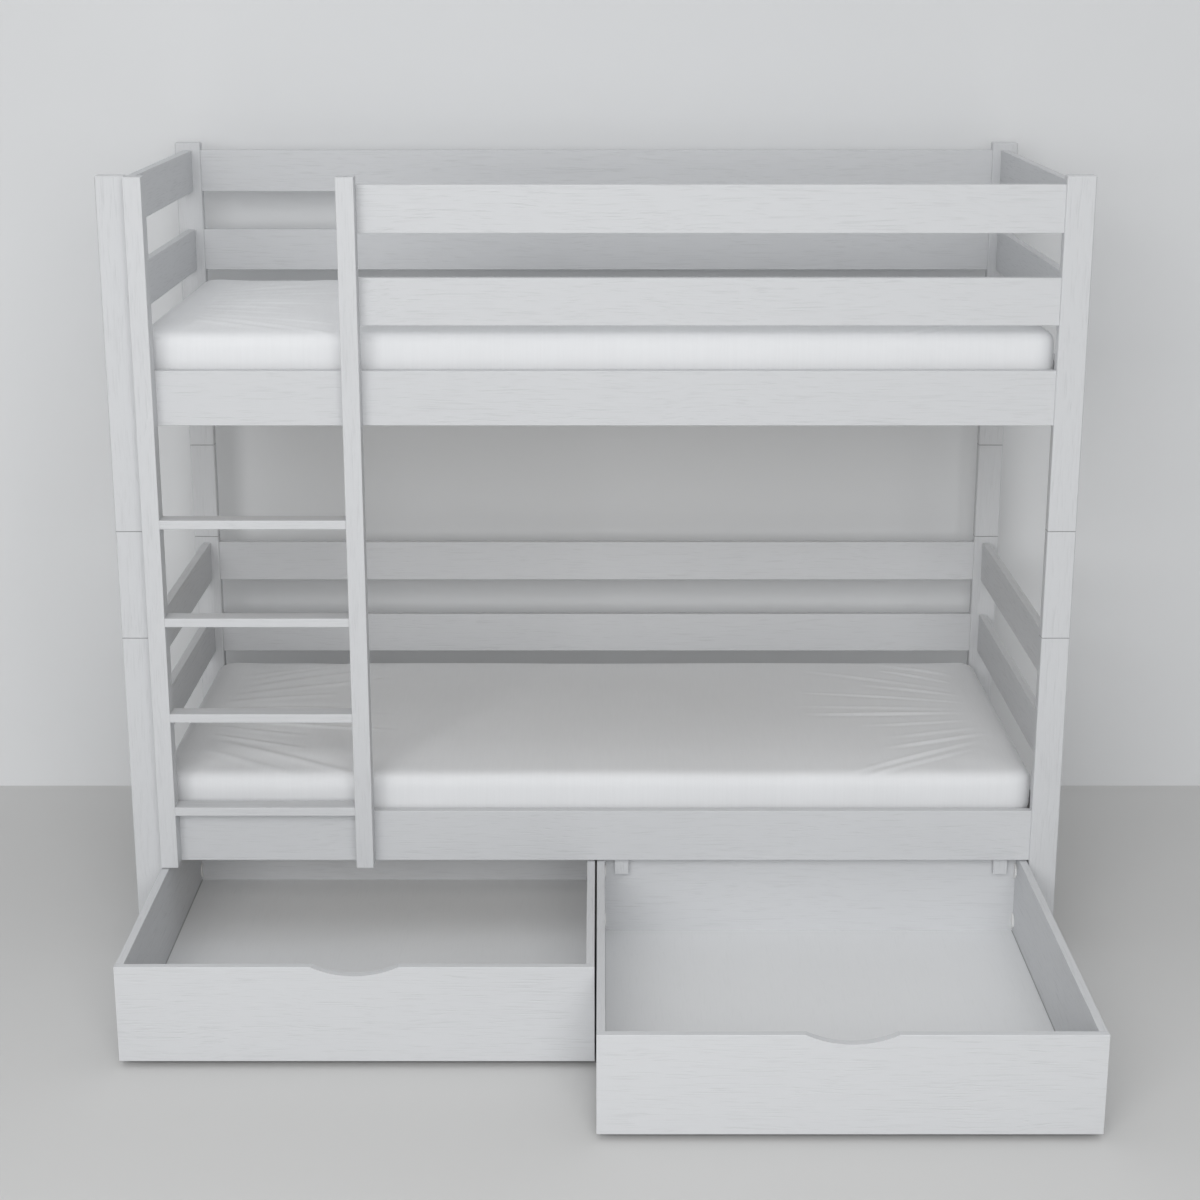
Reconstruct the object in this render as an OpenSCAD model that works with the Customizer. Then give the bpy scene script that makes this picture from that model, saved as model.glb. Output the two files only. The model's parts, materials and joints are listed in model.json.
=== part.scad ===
// Bunk bed with a ladder and two roll-out drawers, in millimetres.
// The origin is on the floor under the middle of the bed frame.
// +X runs along the bed, the ladder and the drawer fronts face -Y, +Z is up.

/* [Bed] */
// Length of the bed over the posts
bed_length = 1900; // [1700:10:2200]
// Depth of the bed over the posts
bed_depth = 860; // [760:10:1100]

/* [Posts] */
// Width of a post, along the bed
post_width = 57; // [45:1:80]
// Depth of a post, front to back
post_depth = 28; // [24:1:45]
// Radius on the four long edges of a post
post_edge_radius = 3.5; // [1:0.5:6]
// Height of a lower leg
lower_leg_height = 686; // [600:2:800]
// Height of the spacer between a lower leg and an upper leg
spacer_height = 220; // [0:5:300]
// Height of an upper leg
upper_leg_height = 694; // [600:2:800]
// Bevel on the top end of an upper leg
post_top_bevel = 2.5; // [1:0.5:4]
// Bevel on the ends that meet in a joint
joint_bevel = 1.2; // [0.4:0.1:1.5]
// Bevel on the foot of a lower leg
foot_bevel = 2; // [1:0.5:4]

/* [Rails and boards] */
// Thickness of every rail and board
board_thickness = 18; // [16:1:28]
// Height of a rail
rail_height = 108; // [90:2:140]
// Height of a rear, end or guard board
board_height = 92; // [70:2:120]
// Gap between a rail and the board above it
rail_gap = 88; // [60:1:100]
// Gap between two boards
board_gap = 85; // [60:1:100]
// Radius on the long edges of a board
board_edge_radius = 1.5; // [0.5:0.5:4]
// Height of the lower rail above the floor
lower_rail_bottom = 206; // [200:2:300]
// Height of the upper rail above the foot of an upper leg
upper_rail_lift = 212; // [150:2:300]

/* [Slats] */
// Number of slats under each mattress
slat_count = 12; // [8:1:18]
// Width of a slat
slat_width = 70; // [50:5:100]
// Thickness of a slat
slat_thickness = 18; // [12:1:22]
// Height of a batten that carries the slats
batten_height = 28; // [20:1:40]
// Depth of a batten
batten_depth = 25; // [18:1:35]
// Drop from the top of a rail to the top of the slats
slat_drop = 34; // [20:1:60]
// Distance from an end board to the first slat
slat_margin = 30; // [5:5:60]

/* [Mattresses] */
// Length of a mattress
mattress_length = 1816; // [1600:1:2100]
// Width of a mattress
mattress_width = 800; // [700:10:1000]
// Height of a mattress
mattress_height = 107; // [80:1:160]
// Radius of a mattress corner, seen from above
mattress_corner_radius = 60; // [20:5:100]

/* [Ladder] */
// Width of a ladder stile
stile_width = 35; // [25:1:50]
// Depth of a ladder stile
stile_depth = 40; // [30:1:60]
// Width of the ladder over its stiles
ladder_width = 435; // [350:5:500]
// Number of rungs
rung_count = 4; // [3:1:5]
// Height of a rung
rung_height = 18; // [16:1:30]
// Distance from one rung to the next
rung_pitch = 200; // [180:5:250]
// Height of the top of the first rung
first_rung_top = 337; // [250:1:420]
// Gap between the ladder and the post beside it
ladder_post_gap = 3; // [1:0.5:10]

/* [Drawers] */
// Thickness of a drawer panel
panel = 16; // [12:1:22]
// Thickness of a drawer bottom
bottom_thickness = 6; // [4:1:10]
// Gap between the floor and the panels of a drawer
floor_gap = 12; // [8:1:25]
// Gap between the top of a drawer and the lower rail
drawer_rail_gap = 2.5; // [2:0.5:10]
// Gap between a drawer and the post beside it
drawer_post_gap = 3; // [1:0.5:10]
// Gap between the two drawers
drawer_middle_gap = 4; // [2:0.5:10]
// Depth of a drawer over its front and back panels
drawer_depth = 834; // [600:2:840]
// Rise of the drawer bottom above the lower edge of the panels
bottom_rise = 14; // [10:1:30]
// Depth of the grooves that hold the drawer bottom
groove = 5; // [3:0.5:8]
// Play above the drawer bottom in the grooves of the two sides
groove_play = 1.2; // [0.2:0.1:1.5]
// Width of the finger scoop in a drawer front
scoop_width = 162; // [100:2:250]
// Depth of the finger scoop in a drawer front
scoop_depth = 18; // [10:1:30]
// How far the left drawer is pulled out
left_drawer_open = 508; // [0:1:780]
// How far the right drawer is pulled out
right_drawer_open = 780; // [0:1:780]
// Width of a stop block
stop_width = 29; // [20:1:40]
// Thickness of a stop block
stop_thickness = 18; // [12:1:25]
// Height of the lower end of a stop block above the floor
stop_bottom = 167; // [120:1:180]
// Height of the upper end of a stop block above the floor
stop_top = 230; // [215:1:232]
// Distance from the middle of a drawer to the middle of a stop block
stop_offset = 393; // [200:1:400]
// Radius of the round cover on a corner connector
cover_radius = 16; // [10:1:20]
// Thickness of that cover
cover_thickness = 3; // [2:0.5:5]

/* [Castors] */
// Radius of a drawer wheel
wheel_radius = 11.5; // [9:0.5:11.5]
// Width of a drawer wheel
wheel_width = 14; // [10:1:20]
// Radius of a wheel axle
axle_radius = 2; // [1.5:0.1:3]
// Distance from a drawer panel to the middle of a wheel, along the bed
wheel_inset = 30; // [20:1:80]
// Distance from the front or the back of a drawer to a wheel
wheel_end_inset = 75; // [40:5:150]
// Thickness of the steel in a castor bracket
bracket_steel = 1.2; // [1:0.1:2]

/* [Fasteners] */
// Radius of a bolt
bolt_radius = 3; // [2.5:0.5:5]
// Radius of a bolt head
bolt_head_radius = 6; // [5:0.5:9]
// Height of a bolt head
bolt_head_height = 3; // [2:0.5:5]
// Radius of the hexagon socket in a bolt head, over its corners
bolt_socket_radius = 2.5; // [2:0.1:3]
// Depth of that socket
bolt_socket_depth = 1.8; // [1:0.1:1.9]
// Reach of a bolt into the end of a board
bolt_reach = 42; // [30:1:60]
// Radius of the round nut that crosses a bolt
nut_radius = 5; // [4:0.5:7]
// Length of that nut
nut_length = 14; // [10:1:18]
// Radius of a wooden dowel
dowel_radius = 4; // [3:0.5:6]
// Length of a wooden dowel
dowel_length = 34; // [20:1:50]
// Radius of a steel pin between two post pieces
pin_radius = 5; // [4:0.5:8]
// Length of that pin
pin_length = 60; // [40:2:80]

/* [Hidden] */
// Radial clearance of every hole around what goes in it
fit = 0.1;
// Extra length of a cutting tool past the face it cuts
over = 1;
// Facets of a full circle
circle = 48;

front = -bed_depth / 2;
back = bed_depth / 2;
post_inner_x = bed_length / 2 - post_width;
post_mid_x = bed_length / 2 - post_width / 2;
post_mid_y = back - post_depth / 2;
// Rails and boards stand in the middle of the thickness of the posts
board_front_y = front + (post_depth - board_thickness) / 2;
board_inner_y = board_front_y + board_thickness;
long_board_length = 2 * post_inner_x;
end_board_length = bed_depth - 2 * post_depth;

spacer_bottom = lower_leg_height;
upper_leg_bottom = lower_leg_height + spacer_height;
post_top = upper_leg_bottom + upper_leg_height;

upper_rail_bottom = upper_leg_bottom + upper_rail_lift;
rail_bottoms = [lower_rail_bottom, upper_rail_bottom];
// Heights of the first and the second board above the bottom of their rail
board_rises = [rail_height + rail_gap, rail_height + rail_gap + board_height + board_gap];
// Heights of the two bolts in the end of a rail, and of the one in a board
rail_bolts = [rail_height / 4, 3 * rail_height / 4];
board_bolt = board_height / 2;
// Heights of the two dowels in the end of a rail and of a board
dowel_spread = 12;
rail_dowels = [rail_height / 2 - dowel_spread, rail_height / 2 + dowel_spread];
board_dowels = [board_height / 4, 3 * board_height / 4];

ladder_left_x = -post_inner_x + ladder_post_gap;
ladder_right_x = ladder_left_x + ladder_width;
stile_mid_y = board_front_y - stile_depth / 2;
stile_xs = [ladder_left_x + stile_width / 2, ladder_right_x - stile_width / 2];
rung_length = ladder_width - 2 * stile_width;
guard_left_x = ladder_right_x - stile_width;
guard_length = post_inner_x - guard_left_x;
// Distance of the two dowels in the end of a rung from its middle
rung_dowel_offset = stile_depth / 4;
// Screws that hold the ladder: shank and head
screw_radius = 2.5;
screw_head_radius = 5.5;
screw_head_height = 2.5;
screw_reach = 25;
// Cross recess in a screw head: length, width and depth of a slot
screw_slot = [5, 1.2, 1.5];
// Drop from the top of a rail to the ladder screw, above the slats and clear of the bolts
rail_screw_drop = 13;
screw_points = concat(
    [for (x = stile_xs, z = rail_bottoms) [x, z + rail_height - rail_screw_drop]],
    [for (rise = board_rises) [stile_xs[1], upper_rail_bottom + rise + board_height / 2]]
);

drawer_top = lower_rail_bottom - drawer_rail_gap;
drawer_height = drawer_top - floor_gap;
drawer_width = post_inner_x - drawer_post_gap - drawer_middle_gap / 2;
drawer_mid_x = (drawer_width + drawer_middle_gap) / 2;
drawer_inner_width = drawer_width - 2 * panel;
bottom_z = floor_gap + bottom_rise;
bottom_width = drawer_inner_width + 2 * groove;
bottom_depth = drawer_depth - 2 * panel + 2 * groove;
scoop_radius = (scoop_width * scoop_width / 4 + scoop_depth * scoop_depth) / (2 * scoop_depth);
// Heights of the two connectors in a back corner, above the lower edge of the panels
connector_rises = [43, 155];
cover_heights = [for (rise = connector_rises) floor_gap + rise];

wheel_xs = [-drawer_inner_width / 2 + wheel_inset, drawer_inner_width / 2 - wheel_inset];
front_wheel_y = wheel_end_inset;
rear_wheel_y = drawer_depth - wheel_end_inset;
// Room between a wheel and the cheeks of its bracket, both sides together
wheel_play = 2;
bracket_gap = wheel_width + wheel_play;
bracket_length = 30;
cheek_length = 16;
// Height of the lower end of a cheek above the floor
cheek_bottom = 5;
// Length of an axle past the cheeks, both ends together
axle_ends = 3;
axle_length = bracket_gap + 2 * bracket_steel + axle_ends;
hub_radius = 5;
hub_length = bracket_gap - wheel_play / 2;
tread_radius = 1.5;

PAINT = [0.80, 0.81, 0.82];
STEEL = [0.62, 0.63, 0.65];
PLASTIC = [0.93, 0.93, 0.92];
TYRE = [0.20, 0.20, 0.21];
CLOTH = [0.92, 0.93, 0.94];
WOOD = [0.78, 0.64, 0.46];

// ---------------------------------------------------------------- shapes

// Upright bar, centred, with its four long edges rounded
module upright_bar(width, depth, length, r) {
    cube([width - 2 * r, depth, length], center = true);
    cube([width, depth - 2 * r, length], center = true);
    for (x = [-1, 1], y = [-1, 1])
        translate([x * (width / 2 - r), y * (depth / 2 - r), 0])
            cylinder(r = r, h = length, center = true, $fn = circle);
}

// Bar along X, centred on its cross-section, starting at x = 0
module bar_x(length, depth, height, r) {
    translate([length / 2, 0, 0])
        rotate([0, 90, 0])
            upright_bar(height, depth, length, r);
}

// Bar along Y, centred on its cross-section, starting at y = 0
module bar_y(length, width, height, r) {
    translate([0, length / 2, 0])
        rotate([90, 0, 0])
            upright_bar(width, height, length, r);
}

// Wedge tools that bevel the four edges of an end face at z = 0, facing up
module end_bevel(width, depth, bevel) {
    reach = bevel * sqrt(2);
    for (side = [-1, 1]) {
        translate([side * width / 2, 0, 0])
            rotate([0, 45, 0])
                cube([reach, depth + 2 * over, reach], center = true);
        translate([0, side * depth / 2, 0])
            rotate([45, 0, 0])
                cube([width + 2 * over, reach, reach], center = true);
    }
}

// Post piece standing on z = 0, with its own bevel at each end
module post_piece(height, bottom_bevel, top_bevel) {
    difference() {
        translate([0, 0, height / 2])
            upright_bar(post_width, post_depth, height, post_edge_radius);
        end_bevel(post_width, post_depth, bottom_bevel);
        translate([0, 0, height])
            end_bevel(post_width, post_depth, top_bevel);
    }
}

// ------------------------------------------------------------- fasteners

// Bolt, centred on the outer face of a post at the left and pointing to +X. Its cross nut
// goes in from the +Y face of the board: the inner face at the front, the outer one at the rear
module bolt_set(grow) {
    shank = post_width + bolt_reach;
    difference() {
        union() {
            translate([-grow, 0, 0])
                rotate([0, 90, 0])
                    cylinder(r = bolt_head_radius + grow, h = bolt_head_height + grow, $fn = circle);
            rotate([0, 90, 0])
                cylinder(r = bolt_radius + grow, h = shank + grow, $fn = circle);
        }
        if (grow == 0)
            translate([-over, 0, 0])
                rotate([0, 90, 0])
                    cylinder(r = bolt_socket_radius, h = bolt_socket_depth + over, $fn = 6);
    }
    translate([shank - nut_radius, board_thickness / 2, 0])
        rotate([90, 0, 0])
            cylinder(r = nut_radius + grow, h = nut_length + grow, $fn = circle);
}

// Every bolt at one corner, side -1 left or 1 right, row -1 front or 1 rear
module corner_bolts(side, row, grow) {
    heights = concat(
        [for (z = rail_bottoms, b = rail_bolts) z + b],
        row > 0 ? [for (z = rail_bottoms, rise = board_rises) z + rise + board_bolt] : [],
        row < 0 && side > 0 ? [for (rise = board_rises) upper_rail_bottom + rise + board_bolt] : []
    );
    for (z = heights)
        translate([side * bed_length / 2, row * post_mid_y, z])
            mirror([side > 0 ? 1 : 0, 0, 0])
                bolt_set(grow);
}

module all_bolts(grow) {
    for (side = [-1, 1], row = [-1, 1])
        corner_bolts(side, row, grow);
}

// Dowels between the end boards and the posts of one level, level 0 or 1
module end_dowels(side, level, grow) {
    heights = concat(
        [for (d = rail_dowels) rail_bottoms[level] + d],
        [for (rise = board_rises, d = board_dowels) rail_bottoms[level] + rise + d]
    );
    for (z = heights, row = [-1, 1])
        translate([side * post_mid_x, row * (back - post_depth), z])
            rotate([90, 0, 0])
                cylinder(r = dowel_radius + grow, h = dowel_length + 2 * grow, center = true, $fn = circle);
}

module all_pins(grow) {
    for (side = [-1, 1], row = [-1, 1], z = [spacer_bottom, upper_leg_bottom])
        translate([side * post_mid_x, row * post_mid_y, z])
            cylinder(r = pin_radius + grow, h = pin_length + 2 * grow, center = true, $fn = circle);
}

module rung_dowels(grow) {
    rung_ends = [ladder_left_x + stile_width, ladder_right_x - stile_width];
    for (x = rung_ends, i = [0 : rung_count - 1], y = [-1, 1])
        translate([
            x,
            stile_mid_y + y * rung_dowel_offset,
            first_rung_top - rung_height / 2 + i * rung_pitch
        ])
            rotate([0, 90, 0])
                cylinder(r = dowel_radius + grow, h = dowel_length + 2 * grow, center = true, $fn = circle);
}

module all_screws(grow) {
    for (p = screw_points)
        translate([p[0], board_inner_y, p[1]])
            rotate([90, 0, 0]) {
                screw_head(grow);
                cylinder(r = screw_radius + grow, h = board_thickness + screw_reach + grow, $fn = circle);
            }
}

// Pan head that stands on the inner face of a board, with its cross recess
module screw_head(grow) {
    difference() {
        translate([0, 0, -screw_head_height])
            cylinder(r = screw_head_radius + grow, h = screw_head_height, $fn = circle);
        if (grow == 0)
            for (turn = [0, 90])
                translate([0, 0, -screw_head_height])
                    rotate([0, 0, turn])
                        cube([screw_slot[0], screw_slot[1], 2 * screw_slot[2]], center = true);
    }
}

// ------------------------------------------------------------ bed frames

module lower_leg(side, row) {
    color(PAINT)
        difference() {
            translate([side * post_mid_x, row * post_mid_y, 0])
                post_piece(lower_leg_height, foot_bevel, joint_bevel);
            corner_bolts(side, row, fit);
            end_dowels(side, 0, fit);
            all_pins(fit);
        }
}

module spacer(side, row) {
    color(PAINT)
        difference() {
            translate([side * post_mid_x, row * post_mid_y, spacer_bottom])
                post_piece(spacer_height, joint_bevel, joint_bevel);
            all_pins(fit);
        }
}

module upper_leg(side, row) {
    color(PAINT)
        difference() {
            translate([side * post_mid_x, row * post_mid_y, upper_leg_bottom])
                post_piece(upper_leg_height, joint_bevel, post_top_bevel);
            corner_bolts(side, row, fit);
            end_dowels(side, 1, fit);
            all_pins(fit);
        }
}

// End rail and two end boards of one level, with the dowels glued in their ends
module end_boards(side, level) {
    pieces = concat([[0, rail_height]], [for (rise = board_rises) [rise, board_height]]);
    color(PAINT) {
        for (p = pieces)
            translate([side * post_mid_x, -end_board_length / 2, rail_bottoms[level] + p[0] + p[1] / 2])
                bar_y(end_board_length, board_thickness, p[1], board_edge_radius);
        end_dowels(side, level, 0);
    }
}

// Long rail, row -1 front or 1 rear
module rail(row, level) {
    color(PAINT)
        difference() {
            translate([-post_inner_x, row * post_mid_y, rail_bottoms[level] + rail_height / 2])
                bar_x(long_board_length, board_thickness, rail_height, board_edge_radius);
            all_bolts(fit);
            if (row < 0)
                all_screws(fit);
        }
}

module rear_boards(level) {
    color(PAINT)
        difference() {
            for (rise = board_rises)
                translate([-post_inner_x, post_mid_y, rail_bottoms[level] + rise + board_height / 2])
                    bar_x(long_board_length, board_thickness, board_height, board_edge_radius);
            all_bolts(fit);
        }
}

module guard_boards() {
    color(PAINT)
        difference() {
            for (rise = board_rises)
                translate([guard_left_x, -post_mid_y, upper_rail_bottom + rise + board_height / 2])
                    bar_x(guard_length, board_thickness, board_height, board_edge_radius);
            all_bolts(fit);
            all_screws(fit);
        }
}

module battens(level) {
    z = rail_bottoms[level] + rail_height - slat_drop - slat_thickness - batten_height / 2;
    color(WOOD)
        for (row = [-1, 1])
            translate([-post_inner_x, row * (-board_inner_y - batten_depth / 2), z])
                bar_x(long_board_length, batten_depth, batten_height, board_edge_radius);
}

module slats(level) {
    slat_end_gap = 1;
    z = rail_bottoms[level] + rail_height - slat_drop - slat_thickness / 2;
    first = -post_inner_x + slat_margin + slat_width / 2;
    step = -2 * first / (slat_count - 1);
    length = -2 * (board_inner_y + slat_end_gap);
    color(WOOD)
        for (i = [0 : slat_count - 1])
            translate([first + i * step, -length / 2, z])
                bar_y(length, slat_width, slat_thickness, board_edge_radius);
}

module mattress(level) {
    z = rail_bottoms[level] + rail_height - slat_drop + mattress_height / 2;
    color(CLOTH)
        translate([0, 0, z])
            upright_bar(mattress_length, mattress_width, mattress_height, mattress_corner_radius);
}

// ---------------------------------------------------------------- ladder

module stile(index) {
    length = post_top - lower_rail_bottom;
    color(PAINT)
        difference() {
            translate([stile_xs[index], stile_mid_y, lower_rail_bottom + length / 2])
                upright_bar(stile_width, stile_depth, length, board_edge_radius);
            rung_dowels(fit);
            all_screws(fit);
        }
}

// Rungs with the dowels glued in their ends
module rungs() {
    color(PAINT) {
        for (i = [0 : rung_count - 1])
            translate([
                ladder_left_x + stile_width,
                stile_mid_y,
                first_rung_top - rung_height / 2 + i * rung_pitch
            ])
                bar_x(rung_length, stile_depth, rung_height, board_edge_radius);
        rung_dowels(0);
    }
}

// --------------------------------------------------------------- drawers

// Moves a drawer, drawn with its front face at y = 0, to its place, side -1 left or 1 right
module place_drawer(side) {
    open = side < 0 ? left_drawer_open : right_drawer_open;
    translate([side * drawer_mid_x, board_front_y - open, 0])
        children();
}

// Bottom panel, also the tool that cuts its own groove, with play above it
module drawer_floor(play) {
    translate([-bottom_width / 2, panel - groove, bottom_z])
        cube([bottom_width, bottom_depth, bottom_thickness + play]);
}

module drawer_front(side) {
    color(PAINT)
        place_drawer(side)
            difference() {
                translate([-drawer_width / 2, panel / 2, floor_gap + drawer_height / 2])
                    bar_x(drawer_width, panel, drawer_height, board_edge_radius);
                translate([0, -over, drawer_top - scoop_depth + scoop_radius])
                    rotate([-90, 0, 0])
                        cylinder(r = scoop_radius, h = panel + 2 * over, $fn = 180);
                drawer_floor(0);
            }
}

module drawer_side(side, hand) {
    color(PAINT)
        place_drawer(side)
            difference() {
                translate([hand * (drawer_width - panel) / 2, panel, floor_gap + drawer_height / 2])
                    bar_y(drawer_depth - panel, panel, drawer_height, board_edge_radius);
                drawer_floor(groove_play);
            }
}

module drawer_back(side) {
    color(PAINT)
        place_drawer(side)
            difference() {
                translate([-drawer_inner_width / 2, drawer_depth - panel / 2, floor_gap + drawer_height / 2])
                    bar_x(drawer_inner_width, panel, drawer_height, board_edge_radius);
                drawer_floor(0);
            }
}

module drawer_bottom(side) {
    color(PAINT)
        place_drawer(side)
            drawer_floor(0);
}

module drawer_stops(side) {
    color(PAINT)
        place_drawer(side)
            for (x = [-stop_offset, stop_offset])
                translate([
                    x,
                    drawer_depth - panel - stop_thickness / 2,
                    (stop_bottom + stop_top) / 2
                ])
                    upright_bar(stop_width, stop_thickness, stop_top - stop_bottom, board_edge_radius);
}

// Half-round covers over the corner connectors, on the side panels against the back panel
module drawer_covers(side) {
    color(PLASTIC)
        place_drawer(side)
            for (hand = [-1, 1], z = cover_heights)
                intersection() {
                    translate([hand * (drawer_inner_width - cover_thickness) / 2, drawer_depth - panel, z])
                        rotate([0, 90, 0])
                            cylinder(r = cover_radius, h = cover_thickness, center = true, $fn = circle);
                    translate([hand * drawer_inner_width / 2, drawer_depth - panel - cover_radius, z])
                        cube([4 * cover_thickness, 2 * cover_radius, 3 * cover_radius], center = true);
                }
}

// Steel bracket under the drawer bottom, with its axle
module castor() {
    plate_top = bottom_z;
    cheek_height = plate_top - cheek_bottom;
    difference() {
        union() {
            translate([
                -bracket_gap / 2 - bracket_steel,
                -bracket_length / 2,
                plate_top - bracket_steel
            ])
                cube([bracket_gap + 2 * bracket_steel, bracket_length, bracket_steel]);
            for (hand = [-1, 1])
                translate([
                    hand * (bracket_gap + bracket_steel) / 2 - bracket_steel / 2,
                    -cheek_length / 2,
                    cheek_bottom
                ])
                    cube([bracket_steel, cheek_length, cheek_height]);
        }
        translate([0, 0, wheel_radius])
            rotate([0, 90, 0])
                cylinder(r = axle_radius, h = axle_length + over, center = true, $fn = circle);
    }
    translate([0, 0, wheel_radius])
        rotate([0, 90, 0])
            cylinder(r = axle_radius, h = axle_length, center = true, $fn = circle);
}

module drawer_castors(side) {
    color(STEEL)
        place_drawer(side)
            for (x = wheel_xs, y = [front_wheel_y, rear_wheel_y])
                translate([x, y, 0])
                    castor();
}

// Wheel with eased tread edges and a hub, bored for its axle
module wheel_shape() {
    difference() {
        union() {
            cylinder(r = wheel_radius, h = wheel_width - 2 * tread_radius, center = true, $fn = circle);
            cylinder(r = wheel_radius - tread_radius, h = wheel_width, center = true, $fn = circle);
            cylinder(r = hub_radius, h = hub_length, center = true, $fn = circle);
        }
        cylinder(r = axle_radius + fit, h = hub_length + 2 * over, center = true, $fn = circle);
    }
}

module wheel(side, hand, y) {
    color(TYRE)
        place_drawer(side)
            translate([hand < 0 ? wheel_xs[0] : wheel_xs[1], y, wheel_radius])
                rotate([0, 90, 0])
                    wheel_shape();
}

// ----------------------------------------------------------------- nodes

module lower_leg_front_left() { lower_leg(-1, -1); }
module lower_leg_front_right() { lower_leg(1, -1); }
module lower_leg_rear_left() { lower_leg(-1, 1); }
module lower_leg_rear_right() { lower_leg(1, 1); }
module spacer_front_left() { spacer(-1, -1); }
module spacer_front_right() { spacer(1, -1); }
module spacer_rear_left() { spacer(-1, 1); }
module spacer_rear_right() { spacer(1, 1); }
module upper_leg_front_left() { upper_leg(-1, -1); }
module upper_leg_front_right() { upper_leg(1, -1); }
module upper_leg_rear_left() { upper_leg(-1, 1); }
module upper_leg_rear_right() { upper_leg(1, 1); }
module lower_end_boards_left() { end_boards(-1, 0); }
module lower_end_boards_right() { end_boards(1, 0); }
module upper_end_boards_left() { end_boards(-1, 1); }
module upper_end_boards_right() { end_boards(1, 1); }
module lower_rail_front() { rail(-1, 0); }
module lower_rail_rear() { rail(1, 0); }
module upper_rail_front() { rail(-1, 1); }
module upper_rail_rear() { rail(1, 1); }
module lower_rear_boards() { rear_boards(0); }
module upper_rear_boards() { rear_boards(1); }
module upper_guard_boards() { guard_boards(); }
module lower_battens() { battens(0); }
module upper_battens() { battens(1); }
module lower_slats() { slats(0); }
module upper_slats() { slats(1); }
module lower_mattress() { mattress(0); }
module upper_mattress() { mattress(1); }
module ladder_stile_left() { stile(0); }
module ladder_stile_right() { stile(1); }
module ladder_rungs() { rungs(); }
module ladder_screws() { color(STEEL) all_screws(0); }
module bed_bolts() { color(STEEL) all_bolts(0); }
module post_pins() { color(STEEL) all_pins(0); }
module left_drawer_front() { drawer_front(-1); }
module left_drawer_side_left() { drawer_side(-1, -1); }
module left_drawer_side_right() { drawer_side(-1, 1); }
module left_drawer_back() { drawer_back(-1); }
module left_drawer_bottom() { drawer_bottom(-1); }
module left_drawer_stops() { drawer_stops(-1); }
module left_drawer_covers() { drawer_covers(-1); }
module left_drawer_castors() { drawer_castors(-1); }
module left_wheel_front_left() { wheel(-1, -1, front_wheel_y); }
module left_wheel_front_right() { wheel(-1, 1, front_wheel_y); }
module left_wheel_rear_left() { wheel(-1, -1, rear_wheel_y); }
module left_wheel_rear_right() { wheel(-1, 1, rear_wheel_y); }
module right_drawer_front() { drawer_front(1); }
module right_drawer_side_left() { drawer_side(1, -1); }
module right_drawer_side_right() { drawer_side(1, 1); }
module right_drawer_back() { drawer_back(1); }
module right_drawer_bottom() { drawer_bottom(1); }
module right_drawer_stops() { drawer_stops(1); }
module right_drawer_covers() { drawer_covers(1); }
module right_drawer_castors() { drawer_castors(1); }
module right_wheel_front_left() { wheel(1, -1, front_wheel_y); }
module right_wheel_front_right() { wheel(1, 1, front_wheel_y); }
module right_wheel_rear_left() { wheel(1, -1, rear_wheel_y); }
module right_wheel_rear_right() { wheel(1, 1, rear_wheel_y); }

lower_leg_front_left();
lower_leg_front_right();
lower_leg_rear_left();
lower_leg_rear_right();
spacer_front_left();
spacer_front_right();
spacer_rear_left();
spacer_rear_right();
upper_leg_front_left();
upper_leg_front_right();
upper_leg_rear_left();
upper_leg_rear_right();
lower_end_boards_left();
lower_end_boards_right();
upper_end_boards_left();
upper_end_boards_right();
lower_rail_front();
lower_rail_rear();
upper_rail_front();
upper_rail_rear();
lower_rear_boards();
upper_rear_boards();
upper_guard_boards();
lower_battens();
upper_battens();
lower_slats();
upper_slats();
lower_mattress();
upper_mattress();
ladder_stile_left();
ladder_stile_right();
ladder_rungs();
ladder_screws();
bed_bolts();
post_pins();
left_drawer_front();
left_drawer_side_left();
left_drawer_side_right();
left_drawer_back();
left_drawer_bottom();
left_drawer_stops();
left_drawer_covers();
left_drawer_castors();
left_wheel_front_left();
left_wheel_front_right();
left_wheel_rear_left();
left_wheel_rear_right();
right_drawer_front();
right_drawer_side_left();
right_drawer_side_right();
right_drawer_back();
right_drawer_bottom();
right_drawer_stops();
right_drawer_covers();
right_drawer_castors();
right_wheel_front_left();
right_wheel_front_right();
right_wheel_rear_left();
right_wheel_rear_right();
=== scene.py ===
"""Looks of the bunk bed with its ladder and its two roll-out drawers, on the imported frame."""

import json
import logging
import math
from collections.abc import Callable
from dataclasses import dataclass, field
from enum import Enum

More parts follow.
